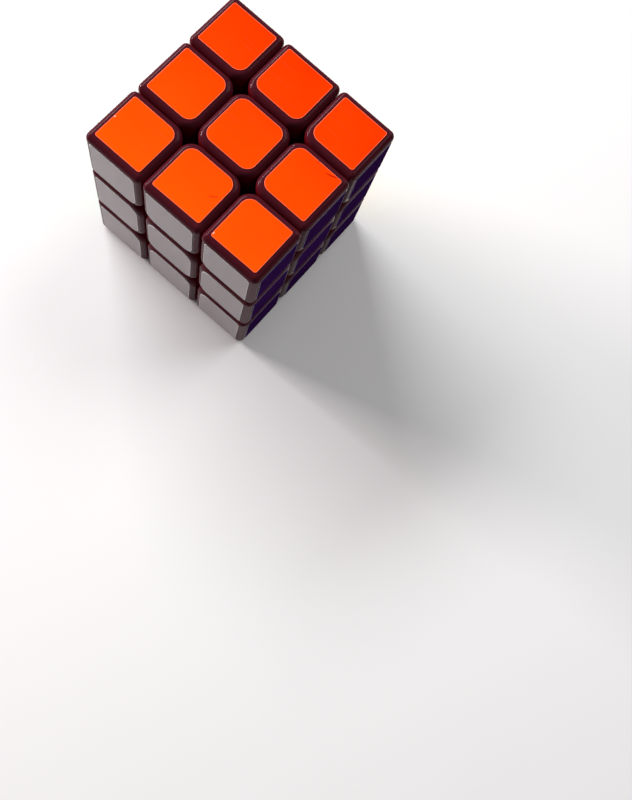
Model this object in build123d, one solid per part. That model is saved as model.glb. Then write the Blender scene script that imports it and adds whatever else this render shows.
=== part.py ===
from build123d import *
import os
from itertools import product
from math import sqrt

os.makedirs("parts", exist_ok=True)

# A 3x3x3 twisty puzzle cube with stuck-on coloured labels.
# Origin: the centre of the core. +X right face, -Y front face, +Z top face. Millimetres.

# ---- driving dimensions ----------------------------------------------------------------
CUBE_SIZE = 56.0            # across two opposite stickers
STICKER_THICKNESS = 0.15
CUT = 9.5                   # the planes that part the layers, from the centre
PLAY = 0.15                 # each piece stays this far from a parting surface
HALF = CUBE_SIZE / 2 - STICKER_THICKNESS    # plastic surface of each face

# visible caps
CAP_CORNER_RADIUS = 4.2     # plan rounding of the corners that look at the face's middle
CAP_EDGE_RADIUS = 1.7       # rounding of every outer rim, up to the edge of the stickers
CAP_WALL = 1.3
CAP_UNDERSIDE = 21.0        # distance of every cap's flat underside from the centre

# stickers
CENTRE_STICKER_HALF = 7.55
OUTER_STICKER_NEAR = 11.45
OUTER_STICKER_FAR = 25.9
STICKER_INNER_RADIUS = 2.8  # corners that look at the face's middle
STICKER_OUTER_RADIUS = 0.65

# hidden mechanism: inside a sphere the parting planes step in to INNER_CUT, so the feet
# of one layer reach under the caps of the next and hold them
INNER_CUT = 5.6
FOOT_SPHERE = 20.4          # radius of the feet's outer surface
EDGE_FOOT_FLOOR = 12.2      # distance of a foot's inner flat from the centre
EDGE_POCKET_RADIUS = 3.0
EDGE_PEG_RADIUS = 3.0
EDGE_PEG_TOP = 24.4
CORNER_FOOT_FLOOR = 13.8
CORNER_POCKET_RADIUS = 1.6
CORNER_PEG_RADIUS = 2.2
CORNER_PEG_TOP = 23.0
FOOT_POCKET_TOP = 17.0      # the feet are hollowed up to this distance
PEG_FIT = 0.08              # radial gap between a peg and its socket
SOCKET_WALL = 1.2
SOCKET_DEPTH = 3.6          # length of the sockets inside the caps

# centre hubs, which turn on the core's arms
HUB_BOTTOM = 9.9
HUB_SHOULDER = 20.6
HUB_TOP = 25.9
HUB_CORNER_RADIUS = 1.2
HUB_NECK_RADIUS = 4.65
BEARING_RADIUS = 3.7
BEARING_TOP = 13.2
HUB_FLOOR_TOP = 15.0
SPRING_BORE_RADIUS = 3.4

# core, screws, washers and springs
CORE_BALL_RADIUS = 8.5
ARM_RADIUS = 3.4
ARM_TOP = 13.0
SCREW_HOLE_RADIUS = 1.35
SCREW_HOLE_BOTTOM = 4.2
SCREW_RADIUS = 1.25
SCREW_BOTTOM = 4.6
SCREW_NECK = 19.0           # underside of the head
SCREW_TOP = 20.9
SCREW_HEAD_RADIUS = 2.8
RECESS_WIDTH = 0.8
RECESS_LENGTH = 3.4
RECESS_DEPTH = 1.1
WASHER_RADIUS = 3.1
WASHER_HOLE_RADIUS = 1.5
WASHER_THICKNESS = 0.4
WASHER_GAP = 0.02           # running gap between a washer and the hub's floor
SPRING_RADIUS = 2.2
SPRING_WIRE_RADIUS = 0.28
SPRING_TURNS = 4
SPRING_WIRE_SIDES = 8       # the wire is drawn with flats, fine enough at this size

FAR = 4 * CUBE_SIZE         # longer than anything in the cube
OUTER_SPAN = (CUT + PLAY, HALF)
MIDDLE_SPAN = (PLAY - CUT, CUT - PLAY)

UP = Vector(0, 0, 1)
EDGE_WAY = Vector(0, 1, 1).normalized()
CORNER_WAY = Vector(1, 1, 1).normalized()


# ---- building blocks -------------------------------------------------------------------
def tile(x_span, y_span, inner_radius, outer_radius=0):
    """A rectangle on one face of the cube, rounded more where it looks at the middle."""
    (x0, x1), (y0, y1) = x_span, y_span
    sheet = Pos((x0 + x1) / 2, (y0 + y1) / 2) * Rectangle(x1 - x0, y1 - y0)
    halfway = (CUT + HALF) / 2
    inner = [v for v in sheet.vertices() if max(abs(v.X), abs(v.Y)) < halfway]
    outer = [v for v in sheet.vertices() if max(abs(v.X), abs(v.Y)) >= halfway]
    if outer and outer_radius:
        sheet = fillet(outer, outer_radius)
        inner = [v for v in sheet.vertices()
                 if any((Vector(v) - Vector(w)).length < PLAY for w in inner)]
    return fillet(inner, inner_radius)


def beyond(way, distance):
    """The half of space further than distance from the centre, along way."""
    return Plane(origin=way * distance, z_dir=way) * Pos(0, 0, FAR / 2) * Box(FAR, FAR, FAR)


def rod(way, start, end, radius):
    """A round bar along a line through the centre of the cube."""
    length = end - start
    return Plane(origin=way * start, z_dir=way) * Pos(0, 0, length / 2) * Cylinder(radius, length)


def rounded_rims(cap):
    """Round every edge that borders an outer face of the cube."""
    rims = []
    for edge in cap.edges():
        low = edge.bounding_box().min
        if max(low.X, low.Y, low.Z) > HALF - PLAY:
            rims.append(edge)
    return fillet(rims, CAP_EDGE_RADIUS)


def turned_copies(shape, axis, count):
    """Copies of a shape turned evenly about an axis, the first one in place."""
    return [shape.rotate(axis, 360 * step / count) for step in range(count)]


DIAGONAL = Axis((0, 0, 0), (1, 1, 1))       # swaps the three faces of a corner
EDGE_DIAGONAL = Axis((0, 0, 0), (0, 1, 1))  # swaps the two faces of an edge


def common(shapes):
    """The space that all the shapes share."""
    result = shapes[0]
    for shape in shapes[1:]:
        result = result & shape
    return result


def cap_form(x_span, y_span, axis, count, inset):
    """The outer form of an edge or corner cap, or of its hollow when inset is not 0."""
    (x0, x1), (y0, y1) = x_span, y_span
    plan = tile((x0 + inset, x1 - inset), (y0 + inset, y1 - inset), CAP_CORNER_RADIUS - inset)
    prism = extrude(plan, HALF - inset)
    return common(turned_copies(prism, axis, count))


def hollow_cap(x_span, axis, count, way, peg_radius):
    """An edge or corner cap: a shell with a socket for the peg of its foot."""
    outside = cap_form(x_span, OUTER_SPAN, axis, count, 0)
    shell = rounded_rims(outside & beyond(way, CAP_UNDERSIDE))
    inside = cap_form(x_span, OUTER_SPAN, axis, count, CAP_WALL)
    shell -= inside & beyond(way, CAP_UNDERSIDE + CAP_WALL)
    socket_radius = peg_radius + PEG_FIT
    socket_top = CAP_UNDERSIDE + SOCKET_DEPTH
    shell += rod(way, CAP_UNDERSIDE, socket_top, socket_radius + SOCKET_WALL)
    shell -= rod(way, CAP_UNDERSIDE - CAP_WALL, socket_top + CAP_WALL, socket_radius)
    return shell


def foot(x_span, way, floor, pocket_radius, peg_radius, peg_top):
    """The part of an edge or corner that the neighbouring caps hold in."""
    near = INNER_CUT + PLAY
    (x0, x1) = x_span
    length = FAR / 2
    prism = Pos((x0 + x1) / 2, near + length / 2, near + length / 2) * Box(x1 - x0, length, length)
    body = Sphere(FOOT_SPHERE) & prism & beyond(way, floor)
    body += rod(way, FOOT_POCKET_TOP, peg_top, peg_radius)
    return body - rod(way, floor - CAP_WALL, FOOT_POCKET_TOP, pocket_radius)


# ---- one piece of each kind, in the place that the names say -----------------------------
def corner_plastic():
    """Right back top corner: cap and foot."""
    cap = hollow_cap(OUTER_SPAN, DIAGONAL, 3, CORNER_WAY, CORNER_PEG_RADIUS)
    near = INNER_CUT + PLAY
    return [cap, foot((near, near + FAR / 2), CORNER_WAY, CORNER_FOOT_FLOOR,
                      CORNER_POCKET_RADIUS, CORNER_PEG_RADIUS, CORNER_PEG_TOP)]


def edge_plastic():
    """Back top edge: cap and foot."""
    cap = hollow_cap(MIDDLE_SPAN, EDGE_DIAGONAL, 2, EDGE_WAY, EDGE_PEG_RADIUS)
    reach = INNER_CUT - PLAY
    return [cap, foot((-reach, reach), EDGE_WAY, EDGE_FOOT_FLOOR,
                      EDGE_POCKET_RADIUS, EDGE_PEG_RADIUS, EDGE_PEG_TOP)]


def centre_plastic():
    """Top centre: cap and hub."""
    plan = tile(MIDDLE_SPAN, MIDDLE_SPAN, CAP_CORNER_RADIUS)
    cap = rounded_rims(extrude(plan, HALF) & beyond(UP, CAP_UNDERSIDE))
    half_width = CUT - PLAY - CAP_WALL
    span = (-half_width, half_width)
    cap -= extrude(tile(span, span, CAP_CORNER_RADIUS - CAP_WALL), HALF - CAP_WALL)
    socket_radius = HUB_NECK_RADIUS + PEG_FIT
    cap += rod(UP, CAP_UNDERSIDE, HALF - CAP_WALL, socket_radius + SOCKET_WALL)
    cap -= rod(UP, CAP_UNDERSIDE, HALF - CAP_WALL, socket_radius)

    width = 2 * (INNER_CUT - PLAY)
    column = extrude(RectangleRounded(width, width, HUB_CORNER_RADIUS), HUB_SHOULDER)
    hub = column & beyond(UP, HUB_BOTTOM)
    hub += rod(UP, HUB_SHOULDER, HUB_TOP, HUB_NECK_RADIUS)
    hub -= rod(UP, HUB_BOTTOM, BEARING_TOP, BEARING_RADIUS)
    hub -= rod(UP, BEARING_TOP, HUB_FLOOR_TOP, WASHER_HOLE_RADIUS)
    hub -= rod(UP, HUB_FLOOR_TOP, HUB_TOP, SPRING_BORE_RADIUS)
    return [cap, hub]


def sticker(x_span, y_span):
    """One coloured label on the top face."""
    plan = tile(x_span, y_span, STICKER_INNER_RADIUS, STICKER_OUTER_RADIUS)
    return Pos(0, 0, HALF) * extrude(plan, STICKER_THICKNESS)


def centre_stickers():
    span = (-CENTRE_STICKER_HALF, CENTRE_STICKER_HALF)
    return [sticker(span, span)]


def edge_stickers():
    middle = (-CENTRE_STICKER_HALF, CENTRE_STICKER_HALF)
    label = sticker(middle, (OUTER_STICKER_NEAR, OUTER_STICKER_FAR))
    return turned_copies(label, EDGE_DIAGONAL, 2)


def corner_stickers():
    span = (OUTER_STICKER_NEAR, OUTER_STICKER_FAR)
    return turned_copies(sticker(span, span), DIAGONAL, 3)


def core():
    """The six-armed spider that the centres are screwed to."""
    body = Sphere(CORE_BALL_RADIUS)
    for arm in on_six_arms(rod(UP, 0, ARM_TOP, ARM_RADIUS)):
        body += arm
    for hole in on_six_arms(rod(UP, SCREW_HOLE_BOTTOM, ARM_TOP, SCREW_HOLE_RADIUS)):
        body -= hole
    return body


def screw():
    """Top screw, with a cross recess in its head."""
    body = rod(UP, SCREW_BOTTOM, SCREW_NECK, SCREW_RADIUS)
    body += rod(UP, SCREW_NECK, SCREW_TOP, SCREW_HEAD_RADIUS)
    recess = Pos(0, 0, SCREW_TOP - RECESS_DEPTH / 2)
    body -= recess * Box(RECESS_LENGTH, RECESS_WIDTH, RECESS_DEPTH)
    body -= recess * Box(RECESS_WIDTH, RECESS_LENGTH, RECESS_DEPTH)
    return body


def washer():
    """Top washer, which the spring presses down over the hub's floor."""
    bottom = HUB_FLOOR_TOP + WASHER_GAP
    top = bottom + WASHER_THICKNESS
    ring = rod(UP, bottom, top, WASHER_RADIUS)
    return ring - rod(UP, bottom, top, WASHER_HOLE_RADIUS)


def spring():
    """Top tension spring, between the washer and the screw's head.

    Each half turn is a tilted half circle, so that the turns climb and meet smoothly.
    """
    clear = SPRING_WIRE_RADIUS + PEG_FIT
    bottom = HUB_FLOOR_TOP + WASHER_GAP + WASHER_THICKNESS + clear
    rise = (SCREW_NECK - clear - bottom) / (2 * SPRING_TURNS)
    half_turns = []
    for step in range(2 * SPRING_TURNS):
        side = 1 if step % 2 == 0 else -1
        start = (side * SPRING_RADIUS, 0, bottom + step * rise)
        crest = (0, side * sqrt(SPRING_RADIUS**2 + (rise / 2)**2), bottom + (step + 0.5) * rise)
        end = (-side * SPRING_RADIUS, 0, bottom + (step + 1) * rise)
        half_turns.append(ThreePointArc(start, crest, end))
    path = Wire(half_turns)
    wire = RegularPolygon(SPRING_WIRE_RADIUS, SPRING_WIRE_SIDES)
    return sweep(Plane(origin=path @ 0, z_dir=path % 0) * wire, path=path)


# ---- placing the pieces ------------------------------------------------------------------
def on_six_arms(shape):
    """A top piece, repeated on the four sides, the top and the bottom."""
    around = turned_copies(shape, Axis.X, 4)
    return around + [shape.rotate(Axis.Y, 90), shape.rotate(Axis.Y, -90)]


def placed(shape, x, y, z):
    """Turn a piece of the back top side to the place (x, y, z), each -1, 0 or 1."""
    if x and y and z:
        start = (1, 1) if z > 0 else (1, -1)
    elif z:
        start = (0, 1) if z > 0 else (0, -1)
    else:
        start = (1, 1)
        shape = shape.rotate(Axis.Y, 90)
    if z < 0:
        shape = shape.rotate(Axis.X, 180)
    quarter = 0
    while start != (x, y):
        start = (-start[1], start[0])
        quarter += 1
    return shape.rotate(Axis.Z, 90 * quarter)


def placed_centre(shape, x, y, z):
    """Turn a piece of the top centre to the centre of the face (x, y, z)."""
    if z:
        return shape if z > 0 else shape.rotate(Axis.X, 180)
    if x:
        return shape.rotate(Axis.Y, 90 * x)
    return shape.rotate(Axis.X, -90 * y)


def place_name(x, y, z):
    """The words for a place, such as top_front_left."""
    words = [("bottom", "", "top")[z + 1], ("front", "", "back")[y + 1],
             ("left", "", "right")[x + 1]]
    return "_".join(word for word in words if word)


def write(name, solids):
    """Write one node's solids to its STEP file."""
    flat = [solid for shape in solids for solid in shape.solids()]
    shape = flat[0] if len(flat) == 1 else Compound(children=flat)
    export_step(shape, f"parts/{name}.step")


KINDS = {
    1: ("centre", centre_plastic(), centre_stickers(), placed_centre),
    2: ("edge", edge_plastic(), edge_stickers(), placed),
    3: ("corner", corner_plastic(), corner_stickers(), placed),
}

for place in product((-1, 0, 1), repeat=3):
    outer_sides = sum(abs(side) for side in place)
    if outer_sides == 0:
        continue
    kind, plastic, labels, put = KINDS[outer_sides]
    name = f"{kind}_{place_name(*place)}"
    write(name, [put(shape, *place) for shape in plastic])
    label_name = "sticker" if kind == "centre" else "stickers"
    write(f"{name}_{label_name}", [put(shape, *place) for shape in labels])

write("core", [core()])
write("arm_screws", on_six_arms(screw()))
write("washers", on_six_arms(washer()))
write("tension_springs", on_six_arms(spring()))
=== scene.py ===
import random
from math import cos, radians, sin

import bmesh
import bpy
from mathutils import Matrix, Vector


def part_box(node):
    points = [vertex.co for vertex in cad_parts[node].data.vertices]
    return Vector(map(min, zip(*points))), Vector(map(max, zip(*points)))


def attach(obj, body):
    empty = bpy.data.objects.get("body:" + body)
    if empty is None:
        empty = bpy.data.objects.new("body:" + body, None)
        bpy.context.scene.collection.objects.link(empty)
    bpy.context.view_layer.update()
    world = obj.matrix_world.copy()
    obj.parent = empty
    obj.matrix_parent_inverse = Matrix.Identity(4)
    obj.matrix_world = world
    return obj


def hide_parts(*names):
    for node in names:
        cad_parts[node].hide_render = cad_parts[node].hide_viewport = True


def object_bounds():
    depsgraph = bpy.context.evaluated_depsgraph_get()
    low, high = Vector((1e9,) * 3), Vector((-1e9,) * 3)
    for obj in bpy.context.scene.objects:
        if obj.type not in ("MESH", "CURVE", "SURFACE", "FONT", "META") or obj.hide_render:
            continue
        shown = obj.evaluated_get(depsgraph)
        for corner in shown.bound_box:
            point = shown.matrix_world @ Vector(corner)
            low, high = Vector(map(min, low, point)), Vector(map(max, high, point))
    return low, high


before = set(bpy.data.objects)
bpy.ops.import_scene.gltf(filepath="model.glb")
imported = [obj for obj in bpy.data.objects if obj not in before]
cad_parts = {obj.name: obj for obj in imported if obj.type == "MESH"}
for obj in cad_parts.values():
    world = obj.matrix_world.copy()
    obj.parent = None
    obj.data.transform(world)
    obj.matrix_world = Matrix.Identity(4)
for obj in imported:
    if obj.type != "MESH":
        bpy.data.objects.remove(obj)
cad_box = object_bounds()

scene = bpy.context.scene
scene.view_settings.view_transform = "Standard"

MM = 0.001

# ---- the cube's own sizes, from the frame ------------------------------------------------
HALF_CUBE = cad_box[1][2]
FLOOR = cad_box[0][2]
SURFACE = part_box("centre_top")[1][2]                # plastic under the stickers
STICKER_THICKNESS = HALF_CUBE - SURFACE
LAYER_CUT = 9.5 * MM                                # planes between the layers
HALFWAY = (LAYER_CUT + SURFACE) / 2                 # middle of the outer layers

# ---- sticker details ---------------------------------------------------------------------
INNER_RADIUS = 2.8 * MM     # corners that look at the middle of the face
OUTER_RADIUS = 0.65 * MM
CUT_LINE = 0.11 * MM        # pale die-cut line round each sticker
EDGE_BEVEL = 0.04 * MM
SLIP = 0.07 * MM            # how far at most a sticker is stuck on off its place
SLIP_TURN = 0.5             # and how far it is turned, in degrees
SLIP_SEED = 54
ARC_STEPS = 12              # straight steps in each rounded corner
ON_FACE = 0.01 * MM         # slack in telling which points of a sticker's node lie on a face

# each face's directions across and up, and the colour of its stickers
FACES = {
    "top": (Vector((1, 0, 0)), Vector((0, 1, 0)), "orange"),
    "bottom": (Vector((1, 0, 0)), Vector((0, -1, 0)), "red"),
    "front": (Vector((1, 0, 0)), Vector((0, 0, 1)), "white"),
    "back": (Vector((-1, 0, 0)), Vector((0, 0, 1)), "yellow"),
    "right": (Vector((0, 1, 0)), Vector((0, 0, 1)), "blue"),
    "left": (Vector((0, -1, 0)), Vector((0, 0, 1)), "green"),
}


# ---- node helpers ------------------------------------------------------------------------
class Shader:
    """A material's node tree, with short calls for the nodes that the materials share."""

    def __init__(self, name):
        self.material = bpy.data.materials.new(name)
        self.material.use_nodes = True
        self.tree = self.material.node_tree
        self.surface = self.tree.nodes["Principled BSDF"]
        self.place = self.node("ShaderNodeTexCoord").outputs["Object"]

    def node(self, kind, **settings):
        made = self.tree.nodes.new(kind)
        for key, value in settings.items():
            setattr(made, key, value)
        return made

    def link(self, source, target):
        self.tree.links.new(source, target)

    def put(self, target, value):
        """Set a socket, or link it when the value is another socket."""
        if isinstance(value, bpy.types.NodeSocket):
            self.link(value, target)
        else:
            target.default_value = value

    def noise(self, per_mm, detail=3.0, rough=0.55, stretch=None):
        """Noise with that many features per millimetre, from 0 to 1."""
        where = self.place
        if stretch:
            mapping = self.node("ShaderNodeMapping")
            mapping.inputs["Scale"].default_value = stretch
            self.link(where, mapping.inputs["Vector"])
            where = mapping.outputs["Vector"]
        made = self.node("ShaderNodeTexNoise")
        made.inputs["Scale"].default_value = per_mm / MM
        made.inputs["Detail"].default_value = detail
        made.inputs["Roughness"].default_value = rough
        self.link(where, made.inputs["Vector"])
        return made.outputs["Fac"]

    def cells(self, per_mm):
        """Distance to the nearest of scattered points, that many per millimetre."""
        made = self.node("ShaderNodeTexVoronoi", feature="F1")
        made.inputs["Scale"].default_value = per_mm / MM
        self.link(self.place, made.inputs["Vector"])
        return made.outputs["Distance"]

    def ramp(self, value, low, high, start=0.0, end=1.0):
        """value mapped from low..high to start..end, held at the ends."""
        made = self.node("ShaderNodeMapRange")
        self.put(made.inputs["Value"], value)
        made.inputs["From Min"].default_value = low
        made.inputs["From Max"].default_value = high
        made.inputs["To Min"].default_value = start
        made.inputs["To Max"].default_value = end
        return made.outputs["Result"]

    def math(self, operation, first, second=0.0):
        made = self.node("ShaderNodeMath", operation=operation)
        self.put(made.inputs[0], first)
        self.put(made.inputs[1], second)
        return made.outputs[0]

    def vector(self, operation, first, second=None):
        made = self.node("ShaderNodeVectorMath", operation=operation)
        self.put(made.inputs[0], first)
        if second is not None:
            self.put(made.inputs[1], second)
        return made.outputs["Value" if operation in ("DOT_PRODUCT", "LENGTH") else "Vector"]

    def axes(self):
        """The place's own x, y and z."""
        split = self.node("ShaderNodeSeparateXYZ")
        self.link(self.place, split.inputs[0])
        return split.outputs

    def mix(self, share, first, second):
        """A colour between first and second."""
        made = self.node("ShaderNodeMix", data_type="RGBA")
        self.put(made.inputs["Factor"], share)
        for name, value in (("A", first), ("B", second)):
            socket = [s for s in made.inputs if s.name == name and s.type == "RGBA"][0]
            self.put(socket, value if isinstance(value, bpy.types.NodeSocket) else (*value, 1))
        return [s for s in made.outputs if s.type == "RGBA"][0]

    def stroke(self, start, end, width):
        """1 within a ragged line between two points in millimetres, 0 outside it."""
        first = Vector(start) * MM
        along = Vector(end) * MM - first
        away = self.vector("SUBTRACT", self.place, first)
        share = self.vector("DOT_PRODUCT", away, along / (along.length_squared or 1.0))
        share = self.math("MINIMUM", self.math("MAXIMUM", share, 0.0), 1.0)
        foot = self.node("ShaderNodeVectorMath", operation="SCALE")
        foot.inputs[0].default_value = along
        self.link(share, foot.inputs["Scale"])
        gap = self.vector("LENGTH", self.vector("SUBTRACT", away, foot.outputs["Vector"]))
        wander = 0.25 * width * MM
        ragged = self.ramp(self.noise(4.0, detail=2), 0.3, 0.7, -wander, wander)
        return self.ramp(self.math("ADD", gap, ragged), 0.7 * width * MM, 0.35 * width * MM)

    def bump(self, height, strength, depth_mm):
        made = self.node("ShaderNodeBump")
        made.inputs["Strength"].default_value = strength
        made.inputs["Distance"].default_value = depth_mm * MM
        self.link(height, made.inputs["Height"])
        return made.outputs["Normal"]

    def set(self, **sockets):
        """Set or link the shader's own sockets; a name's underscores stand for spaces."""
        for name, value in sockets.items():
            self.put(self.surface.inputs[name.replace("_", " ")], value)
        return self.material


# ---- materials ---------------------------------------------------------------------------
GROOVE = (0.6 * MM, 2.0 * MM)       # depths between which the rims turn into groove walls and the painted red glow fades in
INTERIOR = (8.0 * MM, 12.0 * MM)    # depths between which the walls turn into the inside and the painted red glow fades out

# colours are linear red, green and blue
# black plastic: near black with a maroon cast, which is painted red glow from the orange stickers
RIM = ((0.050, 0.0055, 0.0100), (0.066, 0.0090, 0.0155))
# redder, lighter colour of the groove and hole walls: painted red glow that lifts their shade
PAINTED_GROOVE_GLOW = (0.14, 0.0020, 0.0040)
DUST = (0.34, 0.30, 0.29)
SCRATCH = (0.34, 0.004, 0.002)
SMUDGED = (0.50, 0.012, 0.003)
SMUDGE_SHARE = 0.5
BARE_NICK = (0.90, 0.55, 0.42)
VINYL_WHITE = 0.8

# blemishes in millimetres: specks of dust, and start, end and width of marks on the orange face
DUST_WIDTH = 0.22
DUST_ON_RIMS = ((22.9, 8.7, 27.8), (10.8, 6.4, 27.6), (14.3, -27.8, -13.9))
SCRATCHES = (((21.6, 6.2), (23.3, 6.7), 0.20), ((22.7, 6.4), (24.5, 7.3), 0.25),
             ((18.0, 7.25), (18.5, 7.30), 0.26))
SMUDGES = (((4.8, -18.6), (6.1, -17.6), 0.45),)
NICKS = (((11.75, -25.2), (11.75, -24.9), 0.30), ((-25.8, -19.3), (-25.5, -18.8), 0.22))


def black_plastic():
    """Satin black ABS with a maroon cast of painted red glow, and a stronger painted red glow
    down in the grooves.
    """
    s = Shader("black_plastic")
    sides = [s.math("ABSOLUTE", side) for side in s.axes()]
    highest = s.math("MAXIMUM", s.math("MAXIMUM", sides[0], sides[1]), sides[2])
    walls = s.ramp(highest, SURFACE - GROOVE[0], SURFACE - GROOVE[1])
    above = s.ramp(highest, SURFACE - INTERIOR[1], SURFACE - INTERIOR[0])
    # the groove walls above the inside, where the painted red glow lies
    painted_glow_mask = s.math("MULTIPLY", walls, above)
    cloud = s.noise(0.12, detail=4)
    grain = s.noise(3.2, detail=2)
    colour = s.mix(painted_glow_mask, s.mix(cloud, *RIM), PAINTED_GROOVE_GLOW)
    speck = s.ramp(s.cells(0.42), 0.045, 0.02)
    scarce = s.ramp(s.noise(0.25, detail=1), 0.62, 0.66)
    dust = s.math("MULTIPLY", speck, scarce)
    for place in DUST_ON_RIMS:
        dust = s.math("MAXIMUM", dust, s.stroke(place, place, DUST_WIDTH))
    colour = s.mix(dust, colour, DUST)
    rubbed = s.ramp(s.noise(0.5, detail=5, rough=0.7), 0.35, 0.75, 0.10, 0.18)
    skin = s.bump(grain, 0.05, 0.006)
    return s.set(Base_Color=colour, Roughness=rubbed, Specular_IOR_Level=0.045, Normal=skin)


def core_plastic():
    """Plain dark grey ABS of the hidden core."""
    s = Shader("core_plastic")
    cloud = s.noise(0.2, detail=3)
    colour = s.mix(cloud, (0.045, 0.045, 0.047), (0.07, 0.07, 0.072))
    dull = s.ramp(s.noise(1.2), 0.3, 0.7, 0.42, 0.6)
    return s.set(Base_Color=colour, Roughness=dull, Normal=s.bump(s.noise(6.0), 0.2, 0.02))


def steel(name, light, dark, rough_low, rough_high):
    """Plated or drawn steel with fine turning marks."""
    s = Shader(name)
    tarnish = s.noise(0.8, detail=4)
    colour = s.mix(tarnish, dark, light)
    marks = s.noise(3.0, detail=2, stretch=(1, 1, 6))
    rough = s.ramp(marks, 0.3, 0.7, rough_low, rough_high)
    return s.set(Base_Color=colour, Roughness=rough, Metallic=1.0,
                 Normal=s.bump(marks, 0.15, 0.01))


def sticker_vinyl(tint, colour, faded_and_lit, rough, gloss):
    """Printed vinyl: faint cloudiness, hair scratches in the print and a slight wave."""
    s = Shader(f"sticker_{tint}")
    cloud = s.ramp(s.noise(0.05, detail=2), 0.3, 0.7)
    # the orange stickers follow a painted light gradient, yellower towards the front; the other
    # colours vary at random
    if tint == "orange":
        tone = top_wear(s, s.mix(painted_light_gradient(s, cloud), colour, faded_and_lit))
    else:
        tone = s.mix(cloud, colour, faded_and_lit)
    hairs = s.ramp(s.noise(1.6, detail=3, stretch=(0.06, 1, 1)), 0.62, 0.80, 0.0, 0.03)
    scuffed = tuple(0.5 * c + 0.3 for c in faded_and_lit)
    tone = s.mix(hairs, tone, scuffed)
    peel = s.bump(s.noise(0.16, detail=1), 0.02, 0.02)
    return s.set(Base_Color=tone, Roughness=rough, Specular_IOR_Level=gloss, Normal=peel)


def painted_light_gradient(s, cloud):
    """The orange is redder towards the back and yellower towards the front: a painted light
    gradient across the top face.
    """
    lit_share = s.ramp(s.axes()["Y"], SURFACE, -SURFACE)
    return s.math("ADD", s.math("MULTIPLY", lit_share, 0.85), s.math("MULTIPLY", cloud, 0.15))


def top_wear(s, tone):
    """Scratches, a smudge and nicks on the orange stickers."""
    height = SURFACE / MM + STICKER_THICKNESS / MM
    kinds = ((SCRATCHES, SCRATCH, 1.0), (SMUDGES, SMUDGED, SMUDGE_SHARE), (NICKS, BARE_NICK, 1.0))
    for marks, colour, strength in kinds:
        for start, end, width in marks:
            mark = s.stroke((*start, height), (*end, height), width)
            tone = s.mix(s.math("MULTIPLY", mark, strength), tone, colour)
    return tone


def cut_edge(tint, colour, bare):
    """The edge where the die cut through the print, with that share of white vinyl bare."""
    s = Shader(f"sticker_{tint}_edge")
    fray = s.ramp(s.noise(2.2, detail=3), 0.3, 0.7)
    paler = tuple((1 - bare) * c + bare * VINYL_WHITE for c in colour)
    between = tuple(0.5 * (c + p) for c, p in zip(colour, paler))
    tone = s.mix(fray, between, paler)
    return s.set(Base_Color=tone, Roughness=0.55)


# two tones of each colour, roughness, specular level, bare share of the cut edge
STICKER_COLOURS = {
    # orange: the second tone is the lit end of the painted light gradient
    "orange": ((1.0, 0.028, 0.0), (1.0, 0.092, 0.002), 0.45, 0.0, 0.06),
    # white: grey, darker than white vinyl is, as painted shade of the front face
    "white": ((0.36, 0.325, 0.335), (0.39, 0.355, 0.365), 0.24, 0.02, 0.6),
    # blue: darker and more purple than such stickers are, as painted shade of the right face
    "blue": ((0.024, 0.005, 0.050), (0.032, 0.007, 0.070), 0.50, 0.0, 0.20),
    "green": ((0.003, 0.150, 0.030), (0.007, 0.180, 0.040), 0.34, 0.06, 0.12),
    "red": ((0.42, 0.006, 0.010), (0.48, 0.010, 0.014), 0.34, 0.06, 0.06),
    "yellow": ((0.80, 0.54, 0.005), (0.85, 0.60, 0.012), 0.34, 0.06, 0.12),
}

vinyl = {}
for tint, (base, faded_and_lit, rough, gloss, bare) in STICKER_COLOURS.items():
    vinyl[tint] = (sticker_vinyl(tint, base, faded_and_lit, rough, gloss), cut_edge(tint, faded_and_lit, bare))

NODE_MATERIALS = {
    "core": core_plastic(),
    "arm_screws": steel("screw_steel", (0.66, 0.62, 0.55), (0.50, 0.47, 0.42), 0.25, 0.40),
    "washers": steel("washer_steel", (0.64, 0.64, 0.64), (0.48, 0.48, 0.49), 0.28, 0.45),
    "tension_springs": steel("spring_steel", (0.55, 0.55, 0.57), (0.38, 0.38, 0.40), 0.3, 0.5),
}
cap_material = black_plastic()
for name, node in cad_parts.items():
    if "sticker" not in name:
        for slot in node.material_slots:
            slot.material = NODE_MATERIALS.get(name, cap_material)


# ---- stickers ----------------------------------------------------------------------------
def outline(u_span, v_span, inset):
    """Points round a sticker, rounder at the corners that look at the face's middle."""
    points = []
    (u0, u1), (v0, v1) = u_span, v_span
    # each corner, the way from it into the sticker, and the angle where its arc starts
    corners = ((u1, v1, (-1, -1), 0), (u0, v1, (1, -1), 90),
               (u0, v0, (1, 1), 180), (u1, v0, (-1, 1), 270))
    for u, v, inward, start in corners:
        looks_in = max(abs(u), abs(v)) < HALFWAY
        radius = INNER_RADIUS if looks_in else OUTER_RADIUS
        centre = Vector((u, v)) + radius * Vector(inward)
        for step in range(ARC_STEPS + 1):
            angle = radians(start + 90 * step / ARC_STEPS)
            points.append(centre + (radius - inset) * Vector((cos(angle), sin(angle))))
    return points


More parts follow.
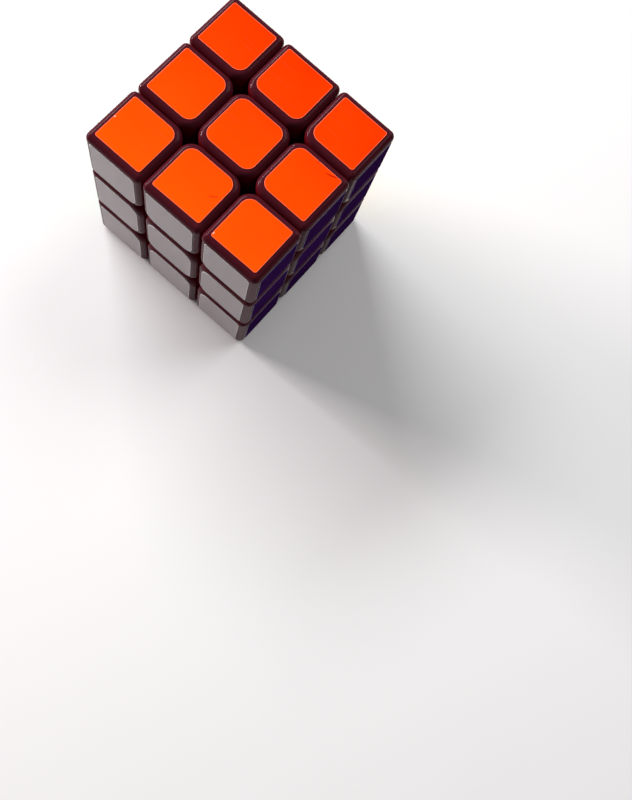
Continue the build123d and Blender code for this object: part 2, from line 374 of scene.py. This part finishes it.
def sticker_mesh(name, u_axis, v_axis, u_span, v_span, slip):
    """A thin label with a bevelled rim, a pale cut line and a flat top."""
    normal = u_axis.cross(v_axis)
    middle = Vector(((u_span[0] + u_span[1]) / 2, (v_span[0] + v_span[1]) / 2))
    shift, turn = slip
    rotate = Matrix.Rotation(turn, 2)
    # height and inset of each ring of points: wall, bevel and cut line lie between them
    rings = ((0.0, 0.0), (STICKER_THICKNESS - EDGE_BEVEL, 0.0),
             (STICKER_THICKNESS, EDGE_BEVEL), (STICKER_THICKNESS, EDGE_BEVEL + CUT_LINE))
    shape = bmesh.new()
    loops = []
    for height, inset in rings:
        ring = []
        for point in outline(u_span, v_span, inset):
            flat = middle + shift + rotate @ (point - middle)
            where = u_axis * flat.x + v_axis * flat.y + normal * (SURFACE + height)
            ring.append(shape.verts.new(where))
        loops.append(ring)
    count = len(loops[0])
    for level in range(len(loops) - 1):
        for i in range(count):
            j = (i + 1) % count
            side = shape.faces.new((loops[level][i], loops[level][j],
                                    loops[level + 1][j], loops[level + 1][i]))
            side.material_index = 1
            side.smooth = level < 2     # the wall and the bevel, but not the cut line
    shape.faces.new(loops[-1])
    underside = shape.faces.new(list(reversed(loops[0])))
    underside.material_index = 1
    mesh = bpy.data.meshes.new(name)
    shape.to_mesh(mesh)
    shape.free()
    return mesh


def spans_on(node, u_axis, v_axis):
    """Where the node's sticker on this face lies, across and up."""
    normal = u_axis.cross(v_axis)
    flat = [v.co for v in node.data.vertices if v.co.dot(normal) > SURFACE - ON_FACE]
    across = [co.dot(u_axis) for co in flat]
    up = [co.dot(v_axis) for co in flat]
    return (min(across), max(across)), (min(up), max(up))


chance = random.Random(SLIP_SEED)
for node_name, node in sorted(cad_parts.items()):
    if "sticker" not in node_name:
        continue
    body = node_name.rsplit("_", 1)[0]
    for face, (u_axis, v_axis, tint) in FACES.items():
        if face not in body.split("_"):
            continue
        u_span, v_span = spans_on(node, u_axis, v_axis)
        slip = (Vector((chance.uniform(-SLIP, SLIP), chance.uniform(-SLIP, SLIP))),
                radians(chance.uniform(-SLIP_TURN, SLIP_TURN)))
        name = f"{body}_sticker_{face}"
        mesh = sticker_mesh(name, u_axis, v_axis, u_span, v_span, slip)
        label = bpy.data.objects.new(name, mesh)
        scene.collection.objects.link(label)
        for material in vinyl[tint]:
            label.data.materials.append(material)
        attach(label, body)
        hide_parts(node_name)


# ---- floor and light ---------------------------------------------------------------------
FLOOR_REACH = 3.0
FLOOR_GAP = 0.05 * MM       # keeps the floor clear of the stickers that the cube rests on


def floor():
    """A plain pale studio floor that reaches far beyond the cube."""
    shape = bmesh.new()
    shape.faces.new([shape.verts.new((x * FLOOR_REACH, y * FLOOR_REACH, FLOOR - FLOOR_GAP))
                     for x, y in ((-1, -1), (1, -1), (1, 1), (-1, 1))])
    mesh = bpy.data.meshes.new("floor")
    shape.to_mesh(mesh)
    shape.free()
    made = bpy.data.objects.new("floor", mesh)
    scene.collection.objects.link(made)
    s = Shader("floor_paper")
    tone = s.mix(s.noise(0.01, detail=2), (0.80, 0.80, 0.80), (0.83, 0.83, 0.83))
    made.data.materials.append(s.set(Base_Color=tone, Roughness=0.9, Specular_IOR_Level=0.1))


def area_light(name, place, size, power, colour=(1, 1, 1)):
    """A soft light that looks at the cube, size metres wide and high."""
    lamp = bpy.data.lights.new(name, "AREA")
    lamp.shape = "RECTANGLE"
    lamp.size, lamp.size_y = size
    lamp.energy = power
    lamp.color = colour
    made = bpy.data.objects.new(name, lamp)
    scene.collection.objects.link(made)
    made.location = place
    made.rotation_euler = (-Vector(place)).to_track_quat("-Z", "Y").to_euler()


# the key comes from the left, the fill from behind, and the strip draws thin lines on the rims
floor()
area_light("key", (-0.96, 0.30, 0.67), (0.90, 0.28), 16.5)
area_light("fill", (0.32, 0.98, 0.88), (0.90, 0.90), 9.5)
area_light("strip", (-0.56, -0.12, 0.17), (0.16, 0.02), 3.7, (1.0, 0.90, 0.92))

world = bpy.data.worlds.new("studio")
scene.world = world
world.use_nodes = True
sky = world.node_tree.nodes["Background"]
sky.inputs["Color"].default_value = (1.0, 0.95, 0.95, 1)
sky.inputs["Strength"].default_value = 0.15

# ---- camera ------------------------------------------------------------------------------
SENSOR = 36.0                   # millimetres across the picture
LENS = 900.0 / 632 * SENSOR     # a focal length of 900 pixels on a picture 632 pixels wide
NEAREST = 0.01

camera = bpy.data.objects.new("camera", bpy.data.cameras.new("camera"))
scene.collection.objects.link(camera)
scene.camera = camera
camera.data.sensor_fit = "HORIZONTAL"
camera.data.sensor_width = SENSOR
camera.data.lens = LENS
camera.data.clip_start = NEAREST
camera.location = (0.0602, -0.0930, 0.2346)
ahead = Vector((-0.0149, 0.2494, -0.9683)).normalized()
upward = Vector((-0.6552, 0.7291, 0.1979))
side = ahead.cross(upward).normalized()
upward = side.cross(ahead)
camera.rotation_euler = Matrix((side, upward, -ahead)).transposed().to_euler()
